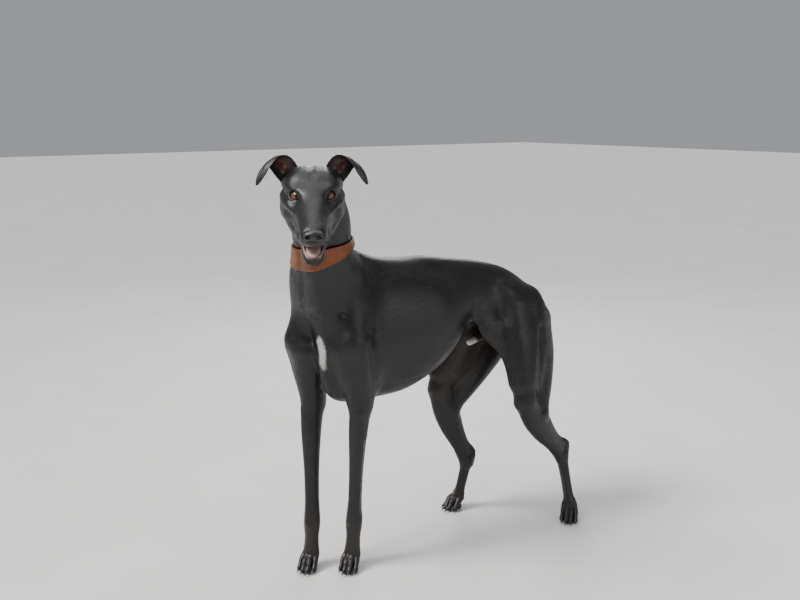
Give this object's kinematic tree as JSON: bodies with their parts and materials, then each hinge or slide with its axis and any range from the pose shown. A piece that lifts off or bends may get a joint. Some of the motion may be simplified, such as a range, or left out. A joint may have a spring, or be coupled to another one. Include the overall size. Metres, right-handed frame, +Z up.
{
  "type": "greyhound",
  "caption": "Life-size still model of a black greyhound standing on four feet, head turned left, mouth open, in a wide tan leather collar.",
  "frame": {"origin": "centre of the footprint of the whole model, on the floor under the feet", "axes": "+X towards the dog's left, -Y ahead of it, +Z up"},
  "size_m": [0.3975, 0.9071, 0.9503],
  "materials": {
    "claw": "dark horn",
    "collar": "tan leather",
    "coat": "short glossy black coat",
    "eye": "wet brown eye",
    "nose": "moist black nose leather",
    "tongue": "wet pink flesh"
  },
  "bodies": {
    "root": {"claw_fore_left_1": "claw", "claw_fore_left_2": "claw", "claw_fore_left_3": "claw", "claw_fore_left_4": "claw", "claw_fore_right_1": "claw", "claw_fore_right_2": "claw", "claw_fore_right_3": "claw", "claw_fore_right_4": "claw", "claw_hind_left_1": "claw", "claw_hind_left_2": "claw", "claw_hind_left_3": "claw", "claw_hind_left_4": "claw", "claw_hind_right_1": "claw", "claw_hind_right_2": "claw", "claw_hind_right_3": "claw", "claw_hind_right_4": "claw", "collar": "collar", "ear_left": "coat", "ear_right": "coat", "eye_left": "eye", "eye_right": "eye", "foreleg_left": "coat", "foreleg_right": "coat", "head": "coat", "hindleg_left": "coat", "hindleg_right": "coat", "jaw_lower": "coat", "neck": "coat", "nose": "nose", "tail": "coat", "tongue": "tongue", "torso": "coat"}
  },
  "joints": []
}
